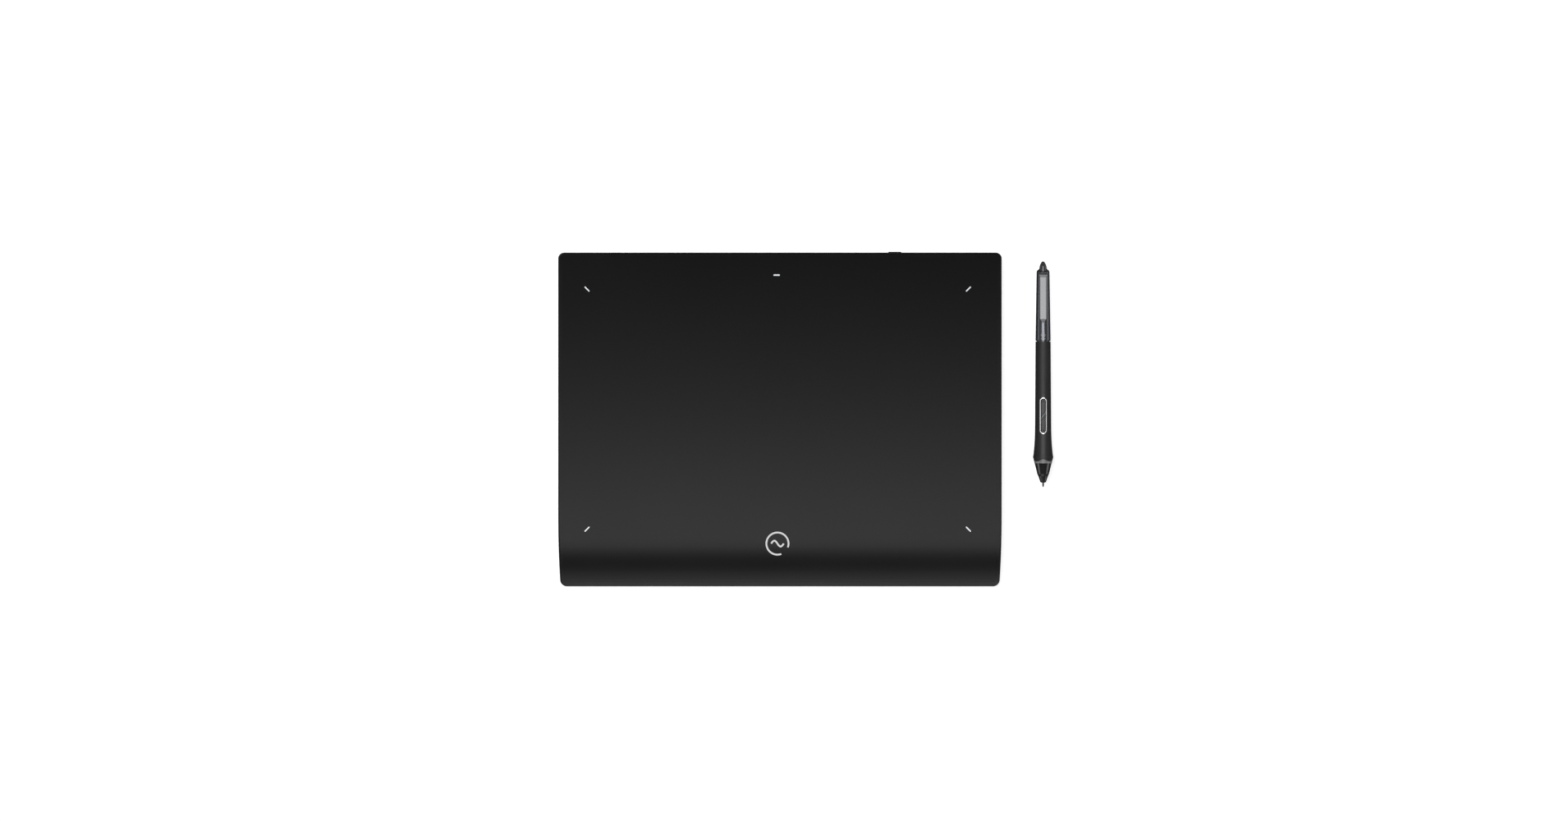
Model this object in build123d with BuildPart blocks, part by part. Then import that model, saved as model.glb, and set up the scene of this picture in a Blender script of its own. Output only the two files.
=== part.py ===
from build123d import *

import math
import os

# Pen drawing tablet with its cordless pen lying beside it.
#
# Frame: millimetres, +Z up, desk at Z = 0. The origin is the middle of the footprint of the whole
# set (tablet and pen), on the desk. +Y points to the rear edge of the tablet, away from the artist,
# and the front edge rolls down like a waterfall towards -Y. The pen lies to the right (+X), nib to
# the front.

os.makedirs("parts", exist_ok=True)

# ---------------------------------------------------------------- tablet: driving dimensions
TAB_W = 325.0  # width of the case
TAB_D = 244.7  # depth of the case, front edge to rear edge
TAB_H = 11.0  # desk to drawing surface
CORNER_R = 4.4  # corners in plan, rear
CORNER_FRONT_R = 5.0
TAPER = 1.6  # each side of the case pulls in this much at the front
TAPER_FROM = -70.0  # the sides are straight behind this line
BEND_Y = -86.4  # the flat drawing surface ends here and the roll-down starts
NOSE_Z = 4.4  # height of the top skin at the front edge
EDGE_R = 1.2  # round along the top rim
WALL = 2.0
SKIN = 1.6  # top plate under the drawing sheet
SHEET_T = 0.35
SHEET_INSET = 3.3  # rim of case left showing round the sheet
SHEET_GAP = 0.08
PART_Z = 3.6  # parting plane of the two covers
PART_GAP = 0.15
FOOT_PROUD = 1.2  # feet hold the lower cover this far off the desk
FLOOR_T = 1.6
UNDERCUT = 2.8  # the lower cover slopes in by this much

ACTIVE_W = 279.4  # active area
ACTIVE_D = 175.9
ACTIVE_X = -1.6  # centre of the active area in the case
ACTIVE_Y = 7.6
MARK_L, MARK_W = 4.9, 0.85  # lit corner marks
STATUS_X, STATUS_Y = -2.4, 105.8
STATUS_L, STATUS_W = 4.6, 1.0
WINDOW_GAP = 0.06  # windows are this much longer and wider than their light pipes
LED_L, LED_W = 3.2, 1.6

BUTTON_X = 84.2  # power button on the rear edge
BUTTON_L, BUTTON_T = 9.6, 2.6
BUTTON_PROUD = 0.6
PORT_X = 0.0  # USB-C receptacle on the rear edge
PORT_Z = 6.18  # shared by the port and the button
PORT_L, PORT_T = 8.94, 3.14  # outside of the receptacle's shell

# ---------------------------------------------------------------- pen: driving dimensions
# s runs along the pen's axis from the nib's tip to the tail, h is the height over the axis.
PEN_L = 165.6
PEN_OFFSET = 192.9  # pen axis to the tablet's centre line
PEN_NIB_Y = -49.6  # nib tip, from the tablet's centre
BORE_R = 4.7  # bore of the grip barrel
SLEEVE_R = BORE_R - 0.05  # sleeves that plug into the bore
JOIN_S = 107.2  # grip barrel meets the tail barrel
JOIN_GROOVE = 0.45  # shadow groove between the barrels
RIDGE_S, RIDGE_R = 22.1, 7.5  # widest ring of the grip
SEAM_S, SEAM_R = 17.4, 6.33  # nose cone meets the collar
TAIL_S, TAIL_R = 157.7, 4.75
SLOT_S = 52.3  # middle of the side switch opening
SLOT_L, SLOT_W = 27.2, 5.8
BAND = 1.15  # width of the bright ring round the side switch
KEY_GROOVE = 0.28  # open groove between the ring and the keys
CLIP_W = 4.7

# ---------------------------------------------------------------- frame of the set
TAB_X = -(PEN_OFFSET + RIDGE_R - TAB_W / 2) / 2
TAB_Y = -BUTTON_PROUD / 2

DESK = Plane(origin=(TAB_X, TAB_Y, 0))  # plan view of the tablet, local (x, y)
SIDE = Plane(origin=(TAB_X, TAB_Y, 0), x_dir=(0, 1, 0), z_dir=(1, 0, 0))  # local (y, z)
REAR = Plane(
    origin=(TAB_X, TAB_Y + TAB_D / 2, 0), x_dir=(-1, 0, 0), z_dir=(0, 1, 0)
)  # local (-x, z), facing back
PORT_AT = (-PORT_X, PORT_Z)  # on REAR
BUTTON_AT = (-BUTTON_X, PORT_Z)

# The pen rests on its widest ring and its tail, so its axis sinks towards the tail.
TILT = math.asin((RIDGE_R - TAIL_R) / (TAIL_S - RIDGE_S))
TILT_COS, TILT_SIN = math.cos(TILT), math.sin(TILT)
PEN_Z = (RIDGE_R + RIDGE_S * TILT_SIN) / TILT_COS + 0.01
PEN_TIP = Vector(TAB_X + PEN_OFFSET, TAB_Y + PEN_NIB_Y, PEN_Z)
PEN_DIR = Vector(0, TILT_COS, -TILT_SIN)  # nib to tail
PEN_UP = Vector(0, TILT_SIN, TILT_COS)
PEN_AXIS = Axis(PEN_TIP, PEN_DIR)
SECTION = Plane(origin=PEN_TIP, x_dir=PEN_DIR, z_dir=(1, 0, 0))  # local (s, h)
PLAN = Plane(origin=PEN_TIP, x_dir=PEN_DIR, z_dir=PEN_UP)  # local (s, -x)
CROSS = Plane(origin=PEN_TIP, x_dir=(-1, 0, 0), z_dir=PEN_DIR)  # local (-x, h)


def finish(builder, name):
    """Labels the finished piece and writes it."""
    builder.part.label = name
    export_step(builder.part, f"parts/{name}.step")


# ================================================================ helper solids of the case
ROLL_RUN = TAB_D / 2 + BEND_Y  # horizontal length of the roll-down
ROLL_DROP = TAB_H - NOSE_Z
ROLL_ANGLE = 2 * math.atan(ROLL_DROP / ROLL_RUN)
ROLL_R = ROLL_RUN / math.sin(ROLL_ANGLE)
MIN_CORNER_R = 0.9


def roll_point(radius, angle):
    """A point of the roll-down's arc in the side view, for a skin at this radius."""
    return (
        BEND_Y - radius * math.sin(angle),
        TAB_H - ROLL_R + radius * math.cos(angle),
    )


def outline(inset, corner, corner_front):
    """Plan outline of the case, pulled in by inset."""
    half_w, half_d = TAB_W / 2 - inset, TAB_D / 2 - inset
    with BuildSketch() as plan:
        with BuildLine():
            rear = Line((-half_w, half_d), (half_w, half_d))
            right = Line(rear @ 1, (half_w, TAPER_FROM))
            right_taper = TangentArc(right @ 1, (half_w - TAPER, -half_d), tangent=(0, -1))
            front = Line(right_taper @ 1, (-(half_w - TAPER), -half_d))
            middle = right_taper @ 0.5
            left_taper = ThreePointArc(
                front @ 1, (-middle.X, middle.Y), (-half_w, TAPER_FROM)
            )
            Line(left_taper @ 1, rear @ 0)
        make_face()
        fillet(plan.vertices().group_by(Axis.Y)[-1], corner)
        fillet(plan.vertices().group_by(Axis.Y)[0], corner_front)
    return plan.sketch


def case_block(inset, z_low, depth, corner=None, corner_front=None):
    """The case's outer form from z_low up, inset in plan and sunk by depth under the top skin."""
    if corner is None:
        corner = max(CORNER_R - inset, MIN_CORNER_R)
    if corner_front is None:
        corner_front = max(CORNER_FRONT_R - inset, MIN_CORNER_R)
    radius = ROLL_R - depth
    with BuildPart() as block:
        with BuildSketch(DESK.offset(z_low)):
            add(outline(inset, corner, corner_front))
        extrude(amount=TAB_H + 5 - z_low)
        with BuildSketch(SIDE):
            with BuildLine():
                flat = Line((TAB_D, TAB_H - depth), (BEND_Y, TAB_H - depth))
                # the arc runs on past the front edge
                roll = ThreePointArc(
                    flat @ 1,
                    roll_point(radius, ROLL_ANGLE * 0.6),
                    roll_point(radius, ROLL_ANGLE * 1.2),
                )
                Polyline(roll @ 1, ((roll @ 1).X, -20), (TAB_D, -20), flat @ 0)
            make_face()
        extrude(amount=TAB_W, both=True, mode=Mode.INTERSECT)
    return block.part


def plan_prism(inset, z_low, z_high, corner, corner_front):
    """A straight prism on the case's plan outline, pulled in by inset."""
    with BuildPart() as prism:
        with BuildSketch(DESK.offset(z_low)):
            add(outline(inset, corner, corner_front))
        extrude(amount=z_high - z_low)
    return prism.part


# ---------------------------------------------------------------- positions inside the case
# x, y, turn of each lit mark, at the corners of the active area
MARKS = [
    (ACTIVE_X + sx * ACTIVE_W / 2, ACTIVE_Y + sy * ACTIVE_D / 2, 45 * sx * sy)
    for sx in (-1, 1)
    for sy in (-1, 1)
]
FLAT_SCREWS = [
    (-153, 106), (153, 106), (-153, 12), (153, 12), (-153, -76), (153, -76),
    (-66, 114.5), (116, 114.5),
]
ROLL_SCREWS = [(-28, -104), (28, -104)]  # under the roll-down
SCREWS = FLAT_SCREWS + ROLL_SCREWS
SCREW_HEAD_R, SCREW_HEAD_H, SCREW_R = 1.9, 1.0, 0.8
TOWER_Z, TOWER_R = 5.0, 2.6  # screw towers of the top shell
POST_TOP, POST_R = 4.9, 3.4  # screw posts of the lower cover
CEILING = TAB_H - SHEET_T - SKIN
FLOOR_Z = FOOT_PROUD + FLOOR_T

FOOT_X, FOOT_L, FOOT_GAP = 92, 92, 0.2  # the same for all four feet
REAR_FOOT_Y, REAR_FOOT_W = 104, 12
FRONT_FOOT_Y, FRONT_FOOT_W = -98, 10

BOARD_AT = (31.0, 110.1)
BOARD_W, BOARD_D, BOARD_T = 142.0, 17.0, 1.0
BOARD_Z = 3.6
BOARD_TOP = BOARD_Z + BOARD_T
BOARD_SEAT = BOARD_TOP + 0.01  # underside of the parts on the board
BOARD_SCREWS = [(-36, 105), (-36, 116), (64, 116), (98, 105)]


def on_rim(edge):
    """Whether an edge runs round the top surface: neither upright nor the bend line."""
    start, middle, end = edge @ 0, edge @ 0.5, edge @ 1
    upright = abs(start.X - end.X) < 1e-6 and abs(start.Y - end.Y) < 1e-6
    bend_line = (
        abs(middle.X - TAB_X) < TAB_W / 2 - 20
        and abs(middle.Y - (TAB_Y + BEND_Y)) < 1
    )
    return edge.center().Z > NOSE_Z - 0.3 and not upright and not bend_line


# ================================================================ tablet: top shell
PILOT_R = SCREW_R + 0.05
LED_POCKET = 7.4  # side of the square pocket over each corner LED
PORT_GAP = 0.36  # the opening is this much longer and taller than the receptacle
BUTTON_GAP = 0.3
RELIEF_L, RELIEF_H, RELIEF_DEPTH = 12.6, 4.9, 0.5  # shallow relief round the port

case_outer = case_block(0, PART_Z, 0)
case_cavity = case_block(WALL, 0, SKIN + SHEET_T)
under_sheet = case_block(0.0, -5, SHEET_T, 1.0, 1.0)
sheet_pocket = case_block(SHEET_INSET - SHEET_GAP, -5, -1.0) - under_sheet

with BuildPart() as top_shell:
    add(case_outer)
    fillet(top_shell.edges().filter_by(on_rim), EDGE_R)
    add(case_cavity, mode=Mode.SUBTRACT)
    add(sheet_pocket, mode=Mode.SUBTRACT)
    # screw towers, which stop just above the lower cover's own posts
    with BuildSketch(DESK.offset(TOWER_Z)):
        with Locations(*FLAT_SCREWS):
            Circle(TOWER_R)
    extrude(amount=CEILING - TOWER_Z + 0.3)
    with BuildSketch(DESK.offset(TOWER_Z)):
        with Locations(*ROLL_SCREWS):
            Circle(TOWER_R)
    extrude(amount=3.0)
    with BuildSketch(DESK.offset(4.0)):
        with Locations(*SCREWS):
            Circle(PILOT_R)
    extrude(amount=3.6, mode=Mode.SUBTRACT)
    # windows of the lit marks, and the pockets over their LEDs
    for x, y, turn in MARKS:
        with BuildSketch(DESK.offset(CEILING - 1)):
            with Locations(Location((x, y), turn)):
                SlotOverall(MARK_L + WINDOW_GAP, MARK_W + WINDOW_GAP)
        extrude(amount=6, mode=Mode.SUBTRACT)
        with BuildSketch(DESK.offset(CEILING - 1)):
            with Locations((x, y)):
                RectangleRounded(LED_POCKET, LED_POCKET, 1.0)
        extrude(amount=1.8, mode=Mode.SUBTRACT)
    with BuildSketch(DESK.offset(CEILING - 1)):
        with Locations((STATUS_X, STATUS_Y)):
            SlotOverall(STATUS_L + WINDOW_GAP, STATUS_W + WINDOW_GAP)
    extrude(amount=6, mode=Mode.SUBTRACT)
    # rear edge: port opening with a shallow relief, and the button's hole
    with BuildSketch(REAR.offset(-WALL - 1)):
        with Locations(PORT_AT):
            SlotOverall(PORT_L + PORT_GAP, PORT_T + PORT_GAP)
        with Locations(BUTTON_AT):
            SlotOverall(BUTTON_L + BUTTON_GAP, BUTTON_T + BUTTON_GAP)
    extrude(amount=WALL + 3, mode=Mode.SUBTRACT)
    with BuildSketch(REAR.offset(-RELIEF_DEPTH)):
        with Locations(PORT_AT):
            SlotOverall(RELIEF_L, RELIEF_H)
    extrude(amount=3, mode=Mode.SUBTRACT)
finish(top_shell, "top_shell")

# ================================================================ tablet: drawing sheet
with BuildPart() as drawing_sheet:
    add(case_block(SHEET_INSET, -5, 0))
    add(case_block(0.0, -6, SHEET_T - 0.01, 1.0, 1.0), mode=Mode.SUBTRACT)
    for x, y, turn in MARKS:
        with BuildSketch(DESK.offset(TAB_H - 2)):
            with Locations(Location((x, y), turn)):
                SlotOverall(MARK_L + WINDOW_GAP, MARK_W + WINDOW_GAP)
        extrude(amount=4, mode=Mode.SUBTRACT)
    with BuildSketch(DESK.offset(TAB_H - 2)):
        with Locations((STATUS_X, STATUS_Y)):
            SlotOverall(STATUS_L + WINDOW_GAP, STATUS_W + WINDOW_GAP)
    extrude(amount=4, mode=Mode.SUBTRACT)
finish(drawing_sheet, "drawing_sheet")

# ================================================================ tablet: lower cover
RIM_TOP = PART_Z - PART_GAP
RIM_Z = RIM_TOP - 0.3  # the sloping side ends here and the upright rim starts
LIP_TOP = 5.4
LIP_GAP_Y, LIP_GAP_D = TAB_D / 2 - 3, 3.4

lower_rim = plan_prism(0, RIM_Z, RIM_TOP, CORNER_R, CORNER_FRONT_R)
lip_form = case_block(WALL + 0.1, FLOOR_Z - 0.2, SKIN + SHEET_T + 0.15)
lip_core = plan_prism(WALL + 1.4, 0, 12, 2.0, 2.4)
top_cut = plan_prism(-5, LIP_TOP, 20, 2.0, 2.4)

with BuildPart() as bottom_cover:
    with BuildSketch(DESK.offset(FOOT_PROUD)):
        add(outline(UNDERCUT, 2.6, 3.2))
    with BuildSketch(DESK.offset(RIM_Z)):
        add(outline(0, CORNER_R, CORNER_FRONT_R))
    loft(ruled=True)
    add(lower_rim)
    # hollow above the floor
    add(plan_prism(UNDERCUT + 1.2, FLOOR_Z, 12, 1.4, 2.0), mode=Mode.SUBTRACT)
    # the lip that locates inside the top shell's wall
    add(lip_form - lip_core - top_cut)
    # posts under the screws
    with BuildSketch(DESK.offset(FOOT_PROUD + 0.1)):
        with Locations(*SCREWS):
            Circle(POST_R)
    extrude(amount=POST_TOP - FOOT_PROUD - 0.1)
    with BuildSketch(DESK.offset(FOOT_PROUD - 1)):
        with Locations(*SCREWS):
            Circle(SCREW_R + 0.2)
    extrude(amount=8, mode=Mode.SUBTRACT)
    with BuildSketch(DESK.offset(FOOT_PROUD - 1)):
        with Locations(*SCREWS):
            Circle(SCREW_HEAD_R + 0.2)
    extrude(amount=1 + SCREW_HEAD_H + 0.3, mode=Mode.SUBTRACT)
    # posts under the main board
    with BuildSketch(DESK.offset(FLOOR_Z - 0.1)):
        with Locations(*BOARD_SCREWS):
            Circle(2.0)
    extrude(amount=BOARD_Z - 0.03 - FLOOR_Z + 0.1)
    with BuildSketch(DESK.offset(FLOOR_Z - 0.8)):
        with Locations(*BOARD_SCREWS):
            Circle(0.75)
    extrude(amount=4, mode=Mode.SUBTRACT)
    # recesses of the feet
    with BuildSketch(DESK.offset(FOOT_PROUD - 1)):
        with Locations((-FOOT_X, REAR_FOOT_Y), (FOOT_X, REAR_FOOT_Y)):
            SlotOverall(FOOT_L + FOOT_GAP, REAR_FOOT_W + FOOT_GAP)
        with Locations((-FOOT_X, FRONT_FOOT_Y), (FOOT_X, FRONT_FOOT_Y)):
            SlotOverall(FOOT_L + FOOT_GAP, FRONT_FOOT_W + FOOT_GAP)
    extrude(amount=1.4, mode=Mode.SUBTRACT)
    # the lip gives way at the port and the button
    with BuildSketch(DESK.offset(FLOOR_Z)):
        with Locations((PORT_X, LIP_GAP_Y)):
            Rectangle(16, LIP_GAP_D)
        with Locations((BUTTON_X, LIP_GAP_Y)):
            Rectangle(18, LIP_GAP_D)
    extrude(amount=5, mode=Mode.SUBTRACT)
finish(bottom_cover, "bottom_cover")


# ================================================================ tablet: feet and screws
def pair_of_feet(name, y, width):
    """The left and right foot at one distance from the tablet's centre."""
    with BuildPart() as feet:
        with BuildSketch(DESK):
            with Locations((-FOOT_X, y), (FOOT_X, y)):
                SlotOverall(FOOT_L, width)
        extrude(amount=FOOT_PROUD + 0.38)
        chamfer(feet.edges().group_by(Axis.Z)[0], 0.3)
    finish(feet, name)


pair_of_feet("rear_feet", REAR_FOOT_Y, REAR_FOOT_W)
pair_of_feet("front_feet", FRONT_FOOT_Y, FRONT_FOOT_W)

HEAD_Z = FOOT_PROUD + 0.28  # exposed underside of the screw heads
SHANK_L = 4.8
DRIVE_L, DRIVE_W, DRIVE_DEPTH = 2.0, 0.5, 0.6  # cross recess
with BuildPart() as case_screws:
    with BuildSketch(DESK.offset(HEAD_Z)):
        with Locations(*SCREWS):
            Circle(SCREW_HEAD_R)
    extrude(amount=SCREW_HEAD_H)
    chamfer(case_screws.edges().group_by(Axis.Z)[0], 0.35)
    with BuildSketch(DESK.offset(HEAD_Z + SCREW_HEAD_H)):
        with Locations(*SCREWS):
            Circle(SCREW_R)
    extrude(amount=SHANK_L)
    with BuildSketch(DESK.offset(HEAD_Z)):
        with Locations(*SCREWS):
            Rectangle(DRIVE_L, DRIVE_W)
            Rectangle(DRIVE_W, DRIVE_L)
    extrude(amount=DRIVE_DEPTH, mode=Mode.SUBTRACT)
finish(case_screws, "case_screws")

# ================================================================ tablet: sensor stack
LAYER_GAP = 0.03
SENSOR_TOP = CEILING - 0.05
SENSOR_W, SENSOR_D, SENSOR_T = ACTIVE_W + 9, ACTIVE_D + 8, 0.8
with BuildPart() as sensor_board:
    with BuildSketch(DESK.offset(SENSOR_TOP - SENSOR_T)):
        with Locations((ACTIVE_X, ACTIVE_Y)):
            RectangleRounded(SENSOR_W, SENSOR_D, 2)
        # notched at the corners
        with Locations((ACTIVE_X, ACTIVE_Y)):
            with GridLocations(SENSOR_W, SENSOR_D, 2, 2):
                Rectangle(5, 5, mode=Mode.SUBTRACT)
    extrude(amount=SENSOR_T)
finish(sensor_board, "sensor_board")

with BuildPart() as corner_leds:
    for x, y, turn in MARKS:
        with BuildSketch(DESK.offset(SENSOR_TOP + 0.01)):
            with Locations(Location((x, y), turn)):
                Rectangle(LED_L, LED_W)
        extrude(amount=0.5)
finish(corner_leds, "corner_leds")

PIPE_TOP = TAB_H - 0.02  # light pipes end just under the drawing surface
PIPE_Z = CEILING + 0.55
FLANGE_EXTRA, FLANGE_T = 1.6, 0.25  # wider base of each pipe
with BuildPart() as corner_light_pipes:
    for x, y, turn in MARKS:
        with BuildSketch(DESK.offset(PIPE_Z)):
            with Locations(Location((x, y), turn)):
                SlotOverall(MARK_L, MARK_W)
        extrude(amount=PIPE_TOP - PIPE_Z)
        with BuildSketch(DESK.offset(PIPE_Z - 0.05)):
            with Locations(Location((x, y), turn)):
                SlotOverall(MARK_L + FLANGE_EXTRA, MARK_W + FLANGE_EXTRA)
        extrude(amount=FLANGE_T)
finish(corner_light_pipes, "corner_light_pipes")

FRAME_AT = (ACTIVE_X, ACTIVE_Y - 3)  # centre of the shield and the frame
SHIELD_T = 0.3
SHIELD_Z = SENSOR_TOP - SENSOR_T - LAYER_GAP - SHIELD_T
with BuildPart() as sensor_shield:
    with BuildSketch(DESK.offset(SHIELD_Z)):
        with Locations(FRAME_AT):
            RectangleRounded(SENSOR_W - 12, SENSOR_D - 8, 2)
    extrude(amount=SHIELD_T)
finish(sensor_shield, "sensor_shield")

FRAME_W, FRAME_D, FRAME_T = SENSOR_W - 14, SENSOR_D - 10, 0.9
FRAME_TOP = SHIELD_Z - LAYER_GAP
FRAME_WALL = 1.5  # outer wall and ribs
INNER_FLOOR = FLOOR_Z + 0.05  # parts that stand on the floor start here
LEAD_X, GATE_Y = -20.0, 93  # battery leads, and where they pass the frame's rear wall
with BuildPart() as support_frame:
    with BuildSketch(DESK.offset(FRAME_TOP - FRAME_T)):
        with Locations(FRAME_AT):
            RectangleRounded(FRAME_W, FRAME_D, 2)
        with Locations(FRAME_AT):
            with GridLocations(68, 56, 4, 3):
                RectangleRounded(52, 40, 4, mode=Mode.SUBTRACT)
    extrude(amount=FRAME_T)
    with BuildSketch(DESK.offset(INNER_FLOOR)):
        with Locations(FRAME_AT):
            RectangleRounded(FRAME_W, FRAME_D, 2)
            RectangleRounded(
                FRAME_W - 2 * FRAME_WALL, FRAME_D - 2 * FRAME_WALL, 1.5, mode=Mode.SUBTRACT
            )
        with Locations((36, FRAME_AT[1]), (100, FRAME_AT[1])):
            Rectangle(FRAME_WALL, FRAME_D - 2)
        with Locations((ACTIVE_X, -36)):
            Rectangle(FRAME_W - 2, FRAME_WALL)
    extrude(amount=FRAME_TOP - 0.4 - INNER_FLOOR)
    # gate in the rear wall for the battery leads
    with BuildSketch(DESK.offset(FLOOR_Z)):
        with Locations((LEAD_X, GATE_Y)):
            Rectangle(14, 8)
    extrude(amount=3.4, mode=Mode.SUBTRACT)
finish(support_frame, "support_frame")

BATTERY_X, BATTERY_Y = -62.0, 34.0
BATTERY_W, BATTERY_D, BATTERY_T = 104.0, 62.0, 3.4
with BuildPart() as battery_pack:
    with BuildSketch(DESK.offset(INNER_FLOOR)):
        with Locations((BATTERY_X, BATTERY_Y)):
            RectangleRounded(BATTERY_W, BATTERY_D, 3)
    extrude(amount=BATTERY_T)
    fillet(battery_pack.edges().group_by(Axis.Z)[-1], 0.9)
    fillet(battery_pack.edges().group_by(Axis.Z)[0], 0.9)
finish(battery_pack, "battery_pack")

# ================================================================ tablet: main board
with BuildPart() as main_board:
    with BuildSketch(DESK.offset(BOARD_Z)):
        with Locations(BOARD_AT):
            RectangleRounded(BOARD_W, BOARD_D, 1)
        with Locations(*BOARD_SCREWS):
            Circle(1.1, mode=Mode.SUBTRACT)
    extrude(amount=BOARD_T)
finish(main_board, "main_board")

SHANK_Z = FLOOR_Z - 0.6
with BuildPart() as board_screws:
    with BuildSketch(DESK.offset(BOARD_SEAT)):
        with Locations(*BOARD_SCREWS):
            Circle(1.8)
    extrude(amount=1.0)
    chamfer(board_screws.edges().group_by(Axis.Z)[-1], 0.3)
    with BuildSketch(DESK.offset(SHANK_Z)):
        with Locations(*BOARD_SCREWS):
            Circle(0.7)
    extrude(amount=BOARD_TOP + 0.2 - SHANK_Z)
finish(board_screws, "board_screws")

with BuildPart() as board_chips:
    with BuildSketch(DESK.offset(BOARD_SEAT)):
        with Locations((34, 110)):
            RectangleRounded(9, 9, 0.3)
        with Locations((48, 109), (54, 109)):
            Rectangle(4, 4)
        with Locations((20, 106)):
            Rectangle(6, 5)
        with Locations((-12, 109)):
            Rectangle(3, 3)
    extrude(amount=0.9)
    with BuildSketch(DESK.offset(BOARD_SEAT)):
        with Locations((24, 113), (42, 104.5), (60, 107), (68, 111), (-8, 114)):
            Rectangle(1.6, 0.8)
    extrude(amount=0.5)
finish(board_chips, "board_chips")

with BuildPart() as radio_shield_can:
    with BuildSketch(DESK.offset(BOARD_SEAT)):
        with Locations((-24, 112)):
            RectangleRounded(13, 11, 0.6)
    extrude(amount=1.9)
    # hollow, open towards the board
    offset(amount=-0.2, openings=radio_shield_can.faces().sort_by(Axis.Z)[0])
finish(radio_shield_can, "radio_shield_can")

# plain blocks on the board: name, centre (x, y), size (x, y, z)
FLEX_X = 84  # flat cable and its connector
BOARD_BLOCKS = [
    ("chip_antenna", (-36, 110.5), (2.2, 6.5, 1.2)),
    ("flex_connector", (FLEX_X, 104.6), (24, 4.4, 1.5)),
    ("battery_connector", (LEAD_X, 103.8), (7, 4.0, 2.2)),
    ("status_led", (STATUS_X, STATUS_Y), (LED_L, LED_W, 0.6)),
]
for name, centre, (width, depth, height) in BOARD_BLOCKS:
    with BuildPart() as board_block:
        with BuildSketch(DESK.offset(BOARD_SEAT)):
            with Locations(centre):
                Rectangle(width, depth)
        extrude(amount=height)
    finish(board_block, name)

# USB-C receptacle: a drawn metal shell with the contact tongue inside
PORT_MOUTH = -0.55  # offsets from the rear edge
PORT_BACK = PORT_MOUTH - 7.2
TONGUE_BACK = PORT_MOUTH - 6.65
with BuildPart() as usb_port_shell:
    with BuildSketch(REAR.offset(PORT_MOUTH)):
        with Locations(PORT_AT):
            SlotOverall(PORT_L, PORT_T)
            SlotOverall(8.34, 2.56, mode=Mode.SUBTRACT)
    extrude(amount=PORT_BACK - PORT_MOUTH)
    # closed inner end
    with BuildSketch(REAR.offset(PORT_BACK)):
        with Locations(PORT_AT):
            SlotOverall(PORT_L, PORT_T)
    extrude(amount=0.5)
finish(usb_port_shell, "usb_port_shell")

with BuildPart() as usb_port_tongue:
    with BuildSketch(REAR.offset(TONGUE_BACK)):
        with Locations(PORT_AT):
            RectangleRounded(6.69, 0.7, 0.2)
    extrude(amount=4.85)
    with BuildSketch(REAR.offset(TONGUE_BACK)):
        with Locations(PORT_AT):
            SlotOverall(8.2, 2.44)
    extrude(amount=1.2)
finish(usb_port_tongue, "usb_port_tongue")

# flat cable from its connector up to the sensor board
FLEX_Z = SENSOR_TOP - SENSOR_T - 0.27
FLEX_T, FLEX_HALF_W = 0.2, 10.5
with BuildPart() as sensor_flex:
    with BuildSketch(SIDE.offset(FLEX_X)):
        with BuildLine():
            Polyline(
                (94.4, FLEX_Z),
                (101.6, FLEX_Z),
                (108.4, FLEX_Z - 0.65),
                (109.2, BOARD_TOP + 0.9),
                (107.0, BOARD_TOP + 0.45),
            )
            offset(amount=FLEX_T, side=Side.LEFT)
        make_face()
    extrude(amount=FLEX_HALF_W, both=True)
finish(sensor_flex, "sensor_flex")

# three leads from the pouch cell, through the frame's gate, up to the connector
LEAD_R, LEAD_PITCH, LEAD_BEND_R = 0.45, 1.8, 1.5
LEAD_LOW_Z, LEAD_HIGH_Z = FLOOR_Z + 1.7, BOARD_TOP + 1.2
with BuildPart() as battery_leads:
    for x in (LEAD_X - LEAD_PITCH, LEAD_X, LEAD_X + LEAD_PITCH):
        with BuildLine(SIDE.offset(x)) as lead:
            run = Polyline(
                (BATTERY_Y + BATTERY_D / 2 + 0.1, LEAD_LOW_Z),
                (GATE_Y, LEAD_LOW_Z),
                (97.5, LEAD_HIGH_Z),
                (101.7, LEAD_HIGH_Z),
            )
            fillet(run.vertices()[1:3], LEAD_BEND_R)
        with BuildSketch(Plane(origin=lead.line @ 0, z_dir=lead.line % 0)):
            Circle(LEAD_R)
        sweep(path=lead.line)
finish(battery_leads, "battery_leads")

STATUS_PIPE_Z = BOARD_TOP + 0.9
with BuildPart() as status_light_pipe:
    with BuildSketch(DESK.offset(STATUS_PIPE_Z)):
        with Locations((STATUS_X, STATUS_Y)):
            SlotOverall(STATUS_L, STATUS_W)
    extrude(amount=PIPE_TOP - STATUS_PIPE_Z)
    # flange under the top plate
    with BuildSketch(DESK.offset(CEILING - 0.9)):
        with Locations((STATUS_X, STATUS_Y)):
            RectangleRounded(8, 3.6, 0.5)
    extrude(amount=0.85)
finish(status_light_pipe, "status_light_pipe")

# ================================================================ tablet: power button
SWITCH_Y, SWITCH_D = 115.2, 4.0
with BuildPart() as power_switch:
    with BuildSketch(DESK.offset(BOARD_SEAT)):
        with Locations((BUTTON_X, SWITCH_Y)):
            Rectangle(6.4, SWITCH_D)
    extrude(amount=3.0)
    # plunger towards the button
    with BuildSketch(REAR.offset(SWITCH_Y + SWITCH_D / 2 - TAB_D / 2)):
        with Locations(BUTTON_AT):
            RectangleRounded(2.6, 1.4, 0.3)
    extrude(amount=1.15)
finish(power_switch, "power_switch")

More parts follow.
